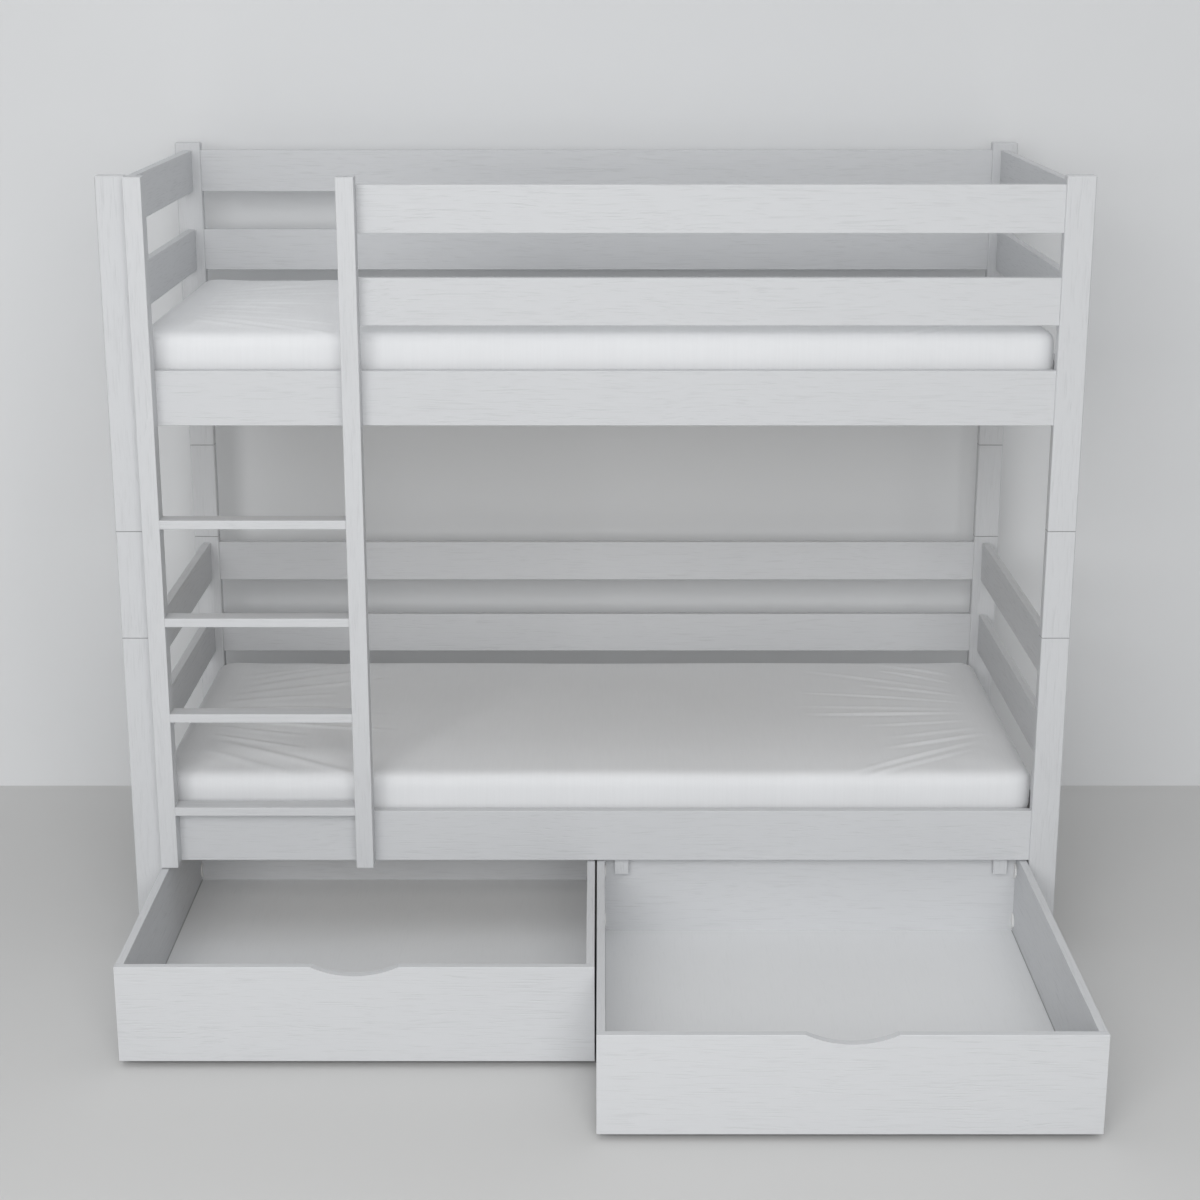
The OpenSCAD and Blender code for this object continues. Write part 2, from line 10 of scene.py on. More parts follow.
import bmesh
import bpy
import numpy as np
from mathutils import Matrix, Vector

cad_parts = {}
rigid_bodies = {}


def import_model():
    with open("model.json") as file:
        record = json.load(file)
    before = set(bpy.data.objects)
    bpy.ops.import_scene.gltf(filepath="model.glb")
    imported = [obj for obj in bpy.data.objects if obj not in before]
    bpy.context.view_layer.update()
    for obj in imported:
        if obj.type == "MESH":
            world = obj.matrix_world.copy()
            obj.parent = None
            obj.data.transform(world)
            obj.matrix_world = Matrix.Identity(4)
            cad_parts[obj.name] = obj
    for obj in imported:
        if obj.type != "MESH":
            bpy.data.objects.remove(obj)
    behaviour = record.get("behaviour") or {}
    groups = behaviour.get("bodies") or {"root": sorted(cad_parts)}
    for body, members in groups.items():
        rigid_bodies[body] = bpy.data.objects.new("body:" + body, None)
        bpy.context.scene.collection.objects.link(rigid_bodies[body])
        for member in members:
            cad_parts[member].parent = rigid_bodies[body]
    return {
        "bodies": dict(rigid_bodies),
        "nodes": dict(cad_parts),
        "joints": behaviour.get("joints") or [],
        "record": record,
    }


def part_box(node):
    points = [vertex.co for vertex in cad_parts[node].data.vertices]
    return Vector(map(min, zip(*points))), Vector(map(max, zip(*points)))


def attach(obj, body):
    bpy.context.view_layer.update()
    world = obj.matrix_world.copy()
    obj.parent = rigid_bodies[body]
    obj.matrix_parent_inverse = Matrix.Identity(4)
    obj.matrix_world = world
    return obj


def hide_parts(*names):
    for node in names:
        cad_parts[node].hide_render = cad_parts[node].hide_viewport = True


log = logging.getLogger("bunk_bed")

Colour = tuple[float, float, float]
Point = tuple[float, float, float]
Socket = bpy.types.NodeSocket


class GrainRun(Enum):
    """The way the grain of a wooden piece runs, as the turn that lays it along X."""

    ALONG_BED = (0.0, 0.0, 0.0)
    FRONT_TO_BACK = (0.0, 0.0, -math.pi / 2)
    UPRIGHT = (0.0, math.pi / 2, 0.0)


class Pile(Enum):
    """Which way a fan of creases spreads across a mattress."""

    TO_THE_FRONT = -1
    TO_THE_BACK = 1


# ------------------------------------------------------------------ node bench


@dataclass
class NodeBench:
    """Lays nodes into one node tree, column by column, and joins them.

    Args:
        tree: The tree of a material or of a node group.
    """

    tree: bpy.types.NodeTree
    count: int = 0

    def lay(self, kind: str, settings: dict[str, object] | None = None, **sockets: object) -> bpy.types.Node:
        """Adds a node, sets its options and feeds its inputs.

        Args:
            kind: The node's type, such as ShaderNodeMath.
            settings: Options of the node itself.
            sockets: Inputs by name, or by number written as i0, i1 and so on; a value or a socket.

        Returns:
            The new node.
        """
        node = self.tree.nodes.new(kind)
        node.location = (180 * (self.count % 12), -220 * (self.count // 12))
        self.count += 1
        for name, value in (settings or {}).items():
            setattr(node, name, value)
        for name, value in sockets.items():
            numbered = name[0] == "i" and name[1:].isdigit()
            self.feed(node.inputs[int(name[1:]) if numbered else name.replace("_", " ")], value)
        return node

    def feed(self, target: Socket, value: object) -> None:
        """Joins an input to a socket, or sets it to a plain value.

        Args:
            target: The input.
            value: A socket or a value.
        """
        if isinstance(value, Socket):
            self.tree.links.new(value, target)
        else:
            target.default_value = value

    def sum_up(self, operation: str, *values: object) -> Socket:
        """Lays a Math node on one to three numbers and returns its output."""
        feeds = {f"i{i}": v for i, v in enumerate(values)}
        return self.lay("ShaderNodeMath", {"operation": operation}, **feeds).outputs[0]

    def vector(self, operation: str, *values: object) -> Socket:
        """Lays a Vector Math node and returns its first output."""
        feeds = {f"i{i}": v for i, v in enumerate(values)}
        return self.lay("ShaderNodeVectorMath", {"operation": operation}, **feeds).outputs[0]

    def noise(self, vector: Socket, scale: float | Socket, detail: float = 2.0, rough: float = 0.5) -> Socket:
        """Lays a Noise Texture node and returns its factor."""
        node = self.lay("ShaderNodeTexNoise", Vector=vector, Scale=scale, Detail=detail, Roughness=rough)
        return node.outputs["Fac"]

    def spread(
        self, value: Socket, low: float, high: float, out_low: float = 0.0, out_high: float = 1.0
    ) -> Socket:
        """Maps a value smoothly from one range to another.

        Args:
            value: The number to map.
            low: Where the first range starts.
            high: Where the first range ends.
            out_low: What the start turns into.
            out_high: What the end turns into.

        Returns:
            The mapped number.
        """
        ends = {"i1": low, "i2": high, "i3": out_low, "i4": out_high}
        node = self.lay("ShaderNodeMapRange", {"interpolation_type": "SMOOTHSTEP"}, i0=value, **ends)
        return node.outputs[0]

    def blend(self, share: object, first: object, second: object) -> Socket:
        """Mixes two colours.

        Args:
            share: How much of the second colour shows, from 0 to 1.
            first: The first colour.
            second: The second colour.

        Returns:
            The mixed colour.
        """
        node = self.lay("ShaderNodeMix", {"data_type": "RGBA"}, i0=share, i6=first, i7=second)
        return node.outputs[2]


def rgba(colour: Colour, share: float = 1.0) -> tuple[float, float, float, float]:
    """Returns a colour as four numbers, darkened to a share of itself."""
    return (colour[0] * share, colour[1] * share, colour[2] * share, 1.0)


# ---------------------------------------------------------------- node groups


def group_tree(
    name: str, inputs: dict[str, float | None], outputs: tuple[str, ...]
) -> tuple[NodeBench, dict[str, Socket], bpy.types.Node]:
    """Starts a shader node group with named inputs and outputs.

    Args:
        name: The group's name.
        inputs: Each input's default: a number, or None for a vector.
        outputs: The names of the numbers that it puts out.

    Returns:
        A bench on the group, the group's input sockets by name, and its output node.
    """
    tree = bpy.data.node_groups.new(name, "ShaderNodeTree")
    for key, value in inputs.items():
        kind = "NodeSocketVector" if value is None else "NodeSocketFloat"
        socket = tree.interface.new_socket(key, in_out="INPUT", socket_type=kind)
        if value is not None:
            socket.default_value = value
    for key in outputs:
        tree.interface.new_socket(key, in_out="OUTPUT", socket_type="NodeSocketFloat")
    bench = NodeBench(tree)
    given = bench.lay("NodeGroupInput")
    taken = tree.nodes.new("NodeGroupOutput")
    taken.location = (2400, 0)
    return bench, {s.name: s for s in given.outputs if s.name}, taken


def grain_lines() -> bpy.types.NodeTree:
    """Builds the group for open grain under paint: short lines along X that follow slow arcs.

    Returns:
        The group, with Vector, Pitch, Length, Sway and Clusters in, and Lines and Height out.
    """
    bench, given, taken = group_tree(
        "grain_lines",
        {"Vector": None, "Pitch": 0.0026, "Length": 0.075, "Sway": 0.03, "Clusters": 0.3},
        ("Lines", "Height"),
    )
    arcs = bench.noise(bench.vector("MULTIPLY", given["Vector"], (3.6, 8.0, 8.0)), 1.0, 1.5, 0.45)
    lift = bench.sum_up("MULTIPLY", bench.sum_up("SUBTRACT", arcs, 0.5), given["Sway"])
    split = bench.lay("ShaderNodeSeparateXYZ", Vector=given["Vector"])
    across = bench.sum_up("DIVIDE", bench.sum_up("ADD", split.outputs[1], lift), given["Pitch"])
    up = bench.sum_up("DIVIDE", bench.sum_up("ADD", split.outputs[2], lift), given["Pitch"])
    along = bench.sum_up("DIVIDE", split.outputs[0], given["Length"])
    laid = bench.lay("ShaderNodeCombineXYZ", X=along, Y=across, Z=up).outputs[0]
    streaks = bench.spread(bench.noise(laid, 1.0, 2.0, 0.55), 0.5, 0.74)
    bands = bench.noise(bench.vector("MULTIPLY", laid, (0.35, 0.16, 0.16)), 1.0, 1.0, 0.5)
    picked = bench.spread(bands, 0.38, 0.62)
    share = bench.sum_up("MULTIPLY", picked, given["Clusters"])
    kept = bench.sum_up("ADD", share, bench.sum_up("SUBTRACT", 1.0, given["Clusters"]))
    lines = bench.sum_up("MULTIPLY", streaks, kept)
    bench.tree.links.new(lines, taken.inputs["Lines"])
    bench.tree.links.new(bench.sum_up("SUBTRACT", 1.0, lines), taken.inputs["Height"])
    return bench.tree


def fine_speckle() -> bpy.types.NodeTree:
    """Builds the group for the fine stipple that a roller, a mould or a plating bath leaves.

    Returns:
        The group, with Vector, Grain and Coarse in, and Stipple and Cloud out.
    """
    bench, given, taken = group_tree(
        "fine_speckle",
        {"Vector": None, "Grain": 900.0, "Coarse": 6.0},
        ("Stipple", "Cloud"),
    )
    bench.tree.links.new(bench.noise(given["Vector"], given["Grain"], 2.0, 0.6), taken.inputs["Stipple"])
    cloud = bench.spread(bench.noise(given["Vector"], given["Coarse"], 3.0, 0.5), 0.3, 0.7)
    bench.tree.links.new(cloud, taken.inputs["Cloud"])
    return bench.tree


def edge_highlight() -> bpy.types.NodeTree:
    """Builds the group that finds the long edges of a piece, where the paint gets a painted highlight.

    Returns:
        The group, with Vector, Reach and Break Up in, and Edge out.
    """
    bench, given, taken = group_tree(
        "edge_highlight",
        {"Vector": None, "Reach": 0.003, "Break Up": 0.5},
        ("Edge",),
    )
    eased = bench.lay("ShaderNodeBevel", {"samples": 4}, Radius=given["Reach"]).outputs[0]
    flat = bench.lay("ShaderNodeNewGeometry").outputs["Normal"]
    product = bench.lay("ShaderNodeVectorMath", {"operation": "DOT_PRODUCT"}, i0=eased, i1=flat)
    turn = bench.spread(bench.sum_up("SUBTRACT", 1.0, product.outputs["Value"]), 0.02, 0.3)
    patch = bench.spread(bench.noise(given["Vector"], 38.0, 3.0, 0.6), 0.35, 0.65)
    share = bench.sum_up("MULTIPLY", patch, given["Break Up"])
    kept = bench.sum_up("ADD", share, bench.sum_up("SUBTRACT", 1.0, given["Break Up"]))
    bench.tree.links.new(bench.sum_up("MULTIPLY", turn, kept), taken.inputs["Edge"])
    return bench.tree


def cotton_weave() -> bpy.types.NodeTree:
    """Builds the group for plain woven cotton, on any face and with no seams to match.

    Returns:
        The group, with Vector, Thread and Slubs in, and Height and Ribs out.
    """
    bench, given, taken = group_tree(
        "cotton_weave",
        {"Vector": None, "Thread": 0.0016, "Slubs": 0.5},
        ("Height", "Ribs"),
    )
    split = bench.lay("ShaderNodeSeparateXYZ", Vector=given["Vector"])
    turns = bench.sum_up("DIVIDE", math.tau, given["Thread"])
    waves = [bench.sum_up("SINE", bench.sum_up("MULTIPLY", split.outputs[i], turns)) for i in range(3)]
    pairs = [bench.sum_up("MULTIPLY", waves[a], waves[b]) for a, b in ((0, 1), (0, 2), (1, 2))]
    knots = bench.sum_up("ADD", bench.sum_up("ADD", pairs[0], pairs[1]), pairs[2])
    along = bench.noise(bench.vector("MULTIPLY", given["Vector"], (9.0, 420.0, 9.0)), 1.0, 2.0)
    upright = bench.noise(bench.vector("MULTIPLY", given["Vector"], (260.0, 14.0, 9.0)), 1.0, 2.0)
    slubs = bench.sum_up("ADD", along, upright)
    thick = bench.sum_up("MULTIPLY", slubs, given["Slubs"])
    woven = bench.sum_up("MULTIPLY_ADD", knots, 0.25, thick)
    bench.tree.links.new(woven, taken.inputs["Height"])
    bench.tree.links.new(bench.spread(upright, 0.3, 0.7), taken.inputs["Ribs"])
    return bench.tree


@dataclass
class Effects:
    """The node groups that the finishes share, each built once."""

    grain: bpy.types.NodeTree = field(default_factory=grain_lines)
    speckle: bpy.types.NodeTree = field(default_factory=fine_speckle)
    edge: bpy.types.NodeTree = field(default_factory=edge_highlight)
    weave: bpy.types.NodeTree = field(default_factory=cotton_weave)


# -------------------------------------------------------------------- finishes


@dataclass(frozen=True)
class Finish:
    """What every finish has: a name and a colour."""

    name: str
    colour: Colour

    def start(self) -> tuple[bpy.types.Material, NodeBench, bpy.types.Node, Socket]:
        """Makes the material with its shader.

        Returns:
            The material, a bench on its tree, the Principled shader and the object's own coordinates.
        """
        material = bpy.data.materials.new(self.name)
        material.use_nodes = True
        material.diffuse_color = rgba(self.colour)
        material.node_tree.nodes.clear()
        bench = NodeBench(material.node_tree)
        shader = bench.lay("ShaderNodeBsdfPrincipled")
        end = bench.lay("ShaderNodeOutputMaterial")
        bench.tree.links.new(shader.outputs[0], end.inputs["Surface"])
        place = bench.lay("ShaderNodeTexCoord").outputs["Object"]
        return material, bench, shader, place

    @staticmethod
    def use(bench: NodeBench, tree: bpy.types.NodeTree, **values: object) -> bpy.types.Node:
        """Places a shared node group in a material with its own values."""
        return bench.lay("ShaderNodeGroup", {"node_tree": tree}, **values)

    @staticmethod
    def set_plain(shader: bpy.types.Node, **values: object) -> None:
        """Sets the shader's own sockets to values that hold all over the surface."""
        for key, value in values.items():
            shader.inputs[key.replace("_", " ")].default_value = value


@dataclass(frozen=True)
class SatinPaint(Finish):
    """Satin paint over open-grained wood.

    Args:
        run: The way the grain runs.
        pitch: The distance between grain lines.
        depth: How deep the grain lines lie.
        tone: How much they darken the paint.
        seams: Where the piece meets its neighbours, each as an axis and a place on it; a dark line of painted
            shade darkens the paint there, standing in for the shadow in the gap.
        shade_line_reach: Half the width of such a line.
    """

    run: GrainRun = GrainRun.ALONG_BED
    pitch: float = 0.0026
    depth: float = 0.0003
    tone: float = 0.12
    seams: tuple[tuple[str, float], ...] = ()
    shade_line_reach: float = 0.0011

    def material(self, effects: Effects) -> bpy.types.Material:
        """Makes the painted material, with its grain, stipple, a painted highlight along its edges and
        painted shade at its seams.

        Args:
            effects: The shared node groups.

        Returns:
            The material.
        """
        material, bench, shader, place = self.start()
        turned = bench.lay("ShaderNodeMapping", Vector=place, Rotation=self.run.value).outputs[0]
        grain = self.use(bench, effects.grain, Vector=turned, Pitch=self.pitch)
        speckle = self.use(bench, effects.speckle, Vector=place, Grain=1100.0, Coarse=3.5)
        edge = self.use(bench, effects.edge, Vector=place, Reach=0.0028, Break_Up=0.45)
        cloudy = bench.blend(speckle.outputs["Cloud"], rgba(self.colour, 0.99), rgba(self.colour, 1.0))
        marked = bench.sum_up("MULTIPLY", grain.outputs["Lines"], self.tone)
        lined = bench.blend(marked, cloudy, rgba(self.colour, 0.45))
        # Painted highlight: the paint is lightened towards a pale grey along the long edges.
        highlight_share = bench.sum_up("MULTIPLY", edge.outputs["Edge"], 0.07)
        with_painted_light = bench.blend(highlight_share, lined, rgba((0.83, 0.82, 0.8)))
        split = bench.lay("ShaderNodeSeparateXYZ", Vector=place)
        # Painted shade: each seam gets a dark line in the paint colour, standing in for the shadow in the gap
        # between parts.
        for axis, seam in self.seams:
            off = bench.sum_up("ABSOLUTE", bench.sum_up("SUBTRACT", split.outputs[axis], seam))
            shade = bench.spread(off, self.shade_line_reach, self.shade_line_reach / 2, 0.0, 0.55)
            with_painted_light = bench.blend(shade, with_painted_light, rgba(self.colour, 0.2))
        bench.tree.links.new(with_painted_light, shader.inputs["Base Color"])
        gloss = bench.sum_up("MULTIPLY_ADD", grain.outputs["Lines"], 0.2, 0.42)
        uneven = bench.sum_up("MULTIPLY_ADD", speckle.outputs["Cloud"], 0.05, gloss)
        bench.tree.links.new(uneven, shader.inputs["Roughness"])
        skin = bench.sum_up("MULTIPLY_ADD", speckle.outputs["Stipple"], 0.12, grain.outputs["Height"])
        bump = bench.lay("ShaderNodeBump", Height=skin, Distance=self.depth, Strength=0.85)
        bench.tree.links.new(bump.outputs[0], shader.inputs["Normal"])
        self.set_plain(shader, Specular_IOR_Level=0.38)
        return material


@dataclass(frozen=True)
class PlanedPine(Finish):
    """Planed, unpainted softwood with growth rings."""

    run: GrainRun = GrainRun.ALONG_BED
    ring: float = 0.011

    def material(self, effects: Effects) -> bpy.types.Material:
        """Makes the bare wood, with rings that wander along the piece and fine pores.

        Args:
            effects: The shared node groups.

        Returns:
            The material.
        """
        material, bench, shader, place = self.start()
        turned = bench.lay("ShaderNodeMapping", Vector=place, Rotation=self.run.value).outputs[0]
        slow = bench.noise(bench.vector("MULTIPLY", turned, (1.6, 11.0, 11.0)), 1.0, 2.0)
        split = bench.lay("ShaderNodeSeparateXYZ", Vector=turned)
        depth = bench.sum_up("ADD", split.outputs[1], split.outputs[2])
        wander = bench.sum_up("MULTIPLY_ADD", slow, 0.09, depth)
        waves = bench.sum_up("SINE", bench.sum_up("MULTIPLY", wander, math.tau / self.ring))
        rings = bench.spread(waves, -0.2, 1.0)
        grain = self.use(bench, effects.grain, Vector=turned, Pitch=0.0016, Length=0.03)
        speckle = self.use(bench, effects.speckle, Vector=place, Grain=700.0, Coarse=5.0)
        base = bench.blend(speckle.outputs["Cloud"], rgba(self.colour, 0.9), rgba(self.colour, 1.06))
        ringed = bench.blend(bench.sum_up("MULTIPLY", rings, 0.45), base, rgba((0.58, 0.44, 0.28)))
        pores = bench.sum_up("MULTIPLY", grain.outputs["Lines"], 0.25)
        pored = bench.blend(pores, ringed, rgba((0.3, 0.17, 0.08)))
        bench.tree.links.new(pored, shader.inputs["Base Color"])
        rough = bench.sum_up("MULTIPLY_ADD", rings, -0.12, 0.66)
        bench.tree.links.new(rough, shader.inputs["Roughness"])
        bump = bench.lay("ShaderNodeBump", Height=grain.outputs["Height"], Distance=0.0002, Strength=0.7)
        bench.tree.links.new(bump.outputs[0], shader.inputs["Normal"])
        return material


@dataclass(frozen=True)
class ZincPlate(Finish):
    """Bright zinc plating on steel, a little cloudy."""

    def material(self, effects: Effects) -> bpy.types.Material:
        """Makes the plated steel.

        Args:
            effects: The shared node groups.

        Returns:
            The material.
        """
        material, bench, shader, place = self.start()
        speckle = self.use(bench, effects.speckle, Vector=place, Grain=1600.0, Coarse=120.0)
        tinted = bench.blend(speckle.outputs["Cloud"], rgba(self.colour, 0.82), rgba(self.colour, 1.08))
        bench.tree.links.new(tinted, shader.inputs["Base Color"])
        rough = bench.sum_up("MULTIPLY_ADD", speckle.outputs["Cloud"], 0.14, 0.26)
        bench.tree.links.new(rough, shader.inputs["Roughness"])
        bump = bench.lay("ShaderNodeBump", Height=speckle.outputs["Stipple"], Distance=0.00005, Strength=0.5)
        bench.tree.links.new(bump.outputs[0], shader.inputs["Normal"])
        self.set_plain(shader, Metallic=1.0)
        return material


@dataclass(frozen=True)
class MouldedPlastic(Finish):
    """Moulded plastic with the fine skin of its mould and a little dust in use."""

    gloss: float = 0.38
    dust: float = 0.0

    def material(self, effects: Effects) -> bpy.types.Material:
        """Makes the plastic.

        Args:
            effects: The shared node groups.

        Returns:
            The material.
        """
        material, bench, shader, place = self.start()
        speckle = self.use(bench, effects.speckle, Vector=place, Grain=1400.0, Coarse=70.0)
        cloudy = bench.blend(speckle.outputs["Cloud"], rgba(self.colour, 0.93), rgba(self.colour))
        settled = bench.sum_up("MULTIPLY", speckle.outputs["Cloud"], self.dust)
        dusty = bench.blend(settled, cloudy, rgba((0.46, 0.44, 0.4)))
        bench.tree.links.new(dusty, shader.inputs["Base Color"])
        rough = bench.sum_up("MULTIPLY_ADD", speckle.outputs["Cloud"], 0.12, self.gloss)
        bench.tree.links.new(rough, shader.inputs["Roughness"])
        bump = bench.lay("ShaderNodeBump", Height=speckle.outputs["Stipple"], Distance=0.00008, Strength=0.6)
        bench.tree.links.new(bump.outputs[0], shader.inputs["Normal"])
        return material


@dataclass(frozen=True)
class CottonCover(Finish):
    """Washed white cotton, plain woven."""

    thread: float = 0.0016
    rib_tone: float = 0.05

    def material(self, effects: Effects) -> bpy.types.Material:
        """Makes the cloth, with its weave, its slubs and a soft sheen.

        Args:
            effects: The shared node groups.

        Returns:
            The material.
        """
        material, bench, shader, place = self.start()
        weave = self.use(bench, effects.weave, Vector=place, Thread=self.thread, Slubs=0.6)
        speckle = self.use(bench, effects.speckle, Vector=place, Grain=520.0, Coarse=4.0)
        cloudy = bench.blend(speckle.outputs["Cloud"], rgba(self.colour, 0.98), rgba(self.colour))
        ribbed = bench.blend(
            bench.sum_up("MULTIPLY", weave.outputs["Ribs"], self.rib_tone),
            cloudy,
            rgba(self.colour, 0.7),
        )
        bench.tree.links.new(ribbed, shader.inputs["Base Color"])
        fibre = bench.sum_up("MULTIPLY_ADD", speckle.outputs["Stipple"], 0.3, weave.outputs["Height"])
        bump = bench.lay("ShaderNodeBump", Height=fibre, Distance=0.0003, Strength=0.55)
        bench.tree.links.new(bump.outputs[0], shader.inputs["Normal"])
        rough = bench.sum_up("MULTIPLY_ADD", speckle.outputs["Stipple"], 0.08, 0.82)
        bench.tree.links.new(rough, shader.inputs["Roughness"])
        self.set_plain(shader, Sheen_Weight=0.25, Sheen_Roughness=0.5, Specular_IOR_Level=0.2)
        return material


@dataclass
class Finishes:
    """Every finish of the bed, made once.

    Args:
        effects: The shared node groups.
        grey: The paint of the bed.
        drawer_white: The finish of the drawer bottoms.
        pine: The bare wood.
        post_joints: Heights of the joints between the stacked post pieces, where the posts' paint gets a dark
            line of painted shade.
        drawer_faces: How far from the middle of the bed the inner faces of the drawer sides stand; the drawer
            floors carry a dark line of painted shade there.
    """

    effects: Effects
    grey: Colour = (0.64, 0.65, 0.665)
    drawer_white: Colour = (0.82, 0.83, 0.84)
    pine: Colour = (0.76, 0.68, 0.56)
    post_joints: tuple[float, ...] = (0.686, 0.906)
    drawer_faces: tuple[float, ...] = (0.018, 0.874)
    boards: bpy.types.Material = field(init=False)
    sides: bpy.types.Material = field(init=False)
    uprights: bpy.types.Material = field(init=False)
    posts: bpy.types.Material = field(init=False)
    floors: bpy.types.Material = field(init=False)
    slats: bpy.types.Material = field(init=False)
    battens: bpy.types.Material = field(init=False)
    steel: bpy.types.Material = field(init=False)
    caps: bpy.types.Material = field(init=False)
    wheels: bpy.types.Material = field(init=False)
    cotton: bpy.types.Material = field(init=False)

    def __post_init__(self) -> None:
        """Makes each material."""
        fx = self.effects
        self.boards = SatinPaint("grey_paint_boards", self.grey).material(fx)
        self.sides = SatinPaint("grey_paint_sides", self.grey, GrainRun.FRONT_TO_BACK).material(fx)
        self.uprights = SatinPaint("grey_paint_uprights", self.grey, GrainRun.UPRIGHT).material(fx)
        # Painted shade: dark lines in the posts' paint at the joint heights, for the shadow in the joints.
        joints = tuple(("Z", height) for height in self.post_joints)
        self.posts = SatinPaint("grey_paint_posts", self.grey, GrainRun.UPRIGHT, seams=joints).material(fx)
        # Painted shade: dark lines along the drawer floors where they meet the sides, for the shadow in the
        # grooves.
        self.floors = SatinPaint(
            "white_drawer_floors",
            self.drawer_white,
            GrainRun.FRONT_TO_BACK,
            pitch=0.004,
            depth=0.0001,
            tone=0.03,
            seams=tuple(("X", hand * face) for hand in (-1, 1) for face in self.drawer_faces),
            shade_line_reach=0.0022,
        ).material(fx)
        self.slats = PlanedPine("bare_pine_slats", self.pine, GrainRun.FRONT_TO_BACK).material(fx)
        self.battens = PlanedPine("bare_pine_battens", self.pine).material(fx)
        self.steel = ZincPlate("zinc_plated_steel", (0.62, 0.63, 0.65)).material(fx)
        self.caps = MouldedPlastic("white_caps", (0.85, 0.85, 0.84)).material(fx)
        self.wheels = MouldedPlastic("dark_wheels", (0.035, 0.035, 0.038), 0.5, 0.22).material(fx)
        self.cotton = CottonCover("white_cotton", (0.83, 0.84, 0.855)).material(fx)


def paint(nodes: dict[str, bpy.types.Object], names: list[str], material: bpy.types.Material) -> None:
    """Gives CAD pieces a finish in place of their plain one.

    Args:
        nodes: The frame's nodes by name.
        names: The pieces to finish.
        material: Their finish.
    """
    for name in names:
        slots = nodes[name].material_slots
        if not slots:
            nodes[name].data.materials.append(material)
        for slot in slots:
            slot.link = "OBJECT"
            slot.material = material


# ------------------------------------------------------------------ assemblies


@dataclass
class BedFrames:
    """The two stacked bed frames: posts, rails, boards, slats and what joins them."""

    nodes: dict[str, bpy.types.Object]
    levels: tuple[str, ...] = ("lower", "upper")
    corners: tuple[str, ...] = ("front_left", "front_right", "rear_left", "rear_right")
    post_parts: tuple[str, ...] = ("lower_leg", "spacer", "upper_leg")

    def dress(self, finishes: Finishes) -> int:
        """Gives each piece of the frames its finish.

        Args:
            finishes: The bed's finishes.

        Returns:
            The number of pieces.
        """
        posts = [f"{part}_{corner}" for part in self.post_parts for corner in self.corners]
        boards = [f"{level}_rail_{row}" for level in self.levels for row in ("front", "rear")]
        boards += ["lower_rear_boards", "upper_rear_boards", "upper_guard_boards"]
        ends = [f"{level}_end_boards_{side}" for level in self.levels for side in ("left", "right")]
        jobs = [
            (posts, finishes.posts),
            (boards, finishes.boards),
            (ends, finishes.sides),
            ([f"{level}_slats" for level in self.levels], finishes.slats),
            ([f"{level}_battens" for level in self.levels], finishes.battens),
            (["bed_bolts", "post_pins"], finishes.steel),
        ]
        for names, material in jobs:
            paint(self.nodes, names, material)
        return sum(len(names) for names, _ in jobs)


@dataclass
class Ladder:
    """The upright ladder with four rungs."""

    nodes: dict[str, bpy.types.Object]

    def dress(self, finishes: Finishes) -> int:
        """Gives the stiles, the rungs and the screws their finishes.

        Args:
            finishes: The bed's finishes.

        Returns:
            The number of pieces.
        """
        paint(self.nodes, ["ladder_stile_left", "ladder_stile_right"], finishes.uprights)
        paint(self.nodes, ["ladder_rungs"], finishes.boards)
        paint(self.nodes, ["ladder_screws"], finishes.steel)
        return 4


@dataclass
class Drawer:
    """One roll-out drawer on four wheels.

    Args:
        nodes: The frame's nodes by name.
        side: left or right.
        corners: Where its wheels are.
    """

    nodes: dict[str, bpy.types.Object]
    side: str
    corners: tuple[str, ...] = ("front_left", "front_right", "rear_left", "rear_right")

    def dress(self, finishes: Finishes) -> int:
        """Gives each piece of the drawer its finish.

        Args:
            finishes: The bed's finishes.

        Returns:
            The number of pieces.
        """
        jobs = [
            (("front", "back"), finishes.boards),
            (("side_left", "side_right"), finishes.sides),
            (("bottom",), finishes.floors),
            (("stops",), finishes.uprights),
            (("covers",), finishes.caps),
            (("castors",), finishes.steel),
        ]
        for parts, material in jobs:
            paint(self.nodes, [f"{self.side}_drawer_{part}" for part in parts], material)
        wheels = [f"{self.side}_wheel_{corner}" for corner in self.corners]
        paint(self.nodes, wheels, finishes.wheels)
        return sum(len(parts) for parts, _ in jobs) + len(wheels)


@dataclass(frozen=True)
class Crease:
    """One long soft crease on top of a mattress, in its own plan.

    Args:
        start: Where it begins, near a short end.
        heading: Its direction in plan, as an angle from +X.
        length: How far it runs.
        width: Half its width.
        rise: Its height at its middle.
        bend: How much it bows sideways over its length.
    """

    start: tuple[float, float]
    heading: float
    length: float
    width: float
    rise: float
    bend: float

    def lift(self, plan: np.ndarray) -> np.ndarray:
        """Works out how far the crease lifts each point.

        Args:
            plan: The points' X and Y.

        Returns:
            The lift of each point, in metres.
        """
        ahead = np.array((math.cos(self.heading), math.sin(self.heading)))
        away = plan - np.array(self.start)
        run = away @ ahead / self.length
        off = away @ np.array((-ahead[1], ahead[0])) - self.bend * run * run
        ridge = np.exp(-((off / self.width) ** 2))
        furrow = np.exp(-(((off - 1.7 * self.width) / (1.3 * self.width)) ** 2))
        fade = np.sin(math.pi * np.clip(run, 0.0, 1.0)) ** 0.8
        return self.rise * (ridge - 0.6 * furrow) * fade


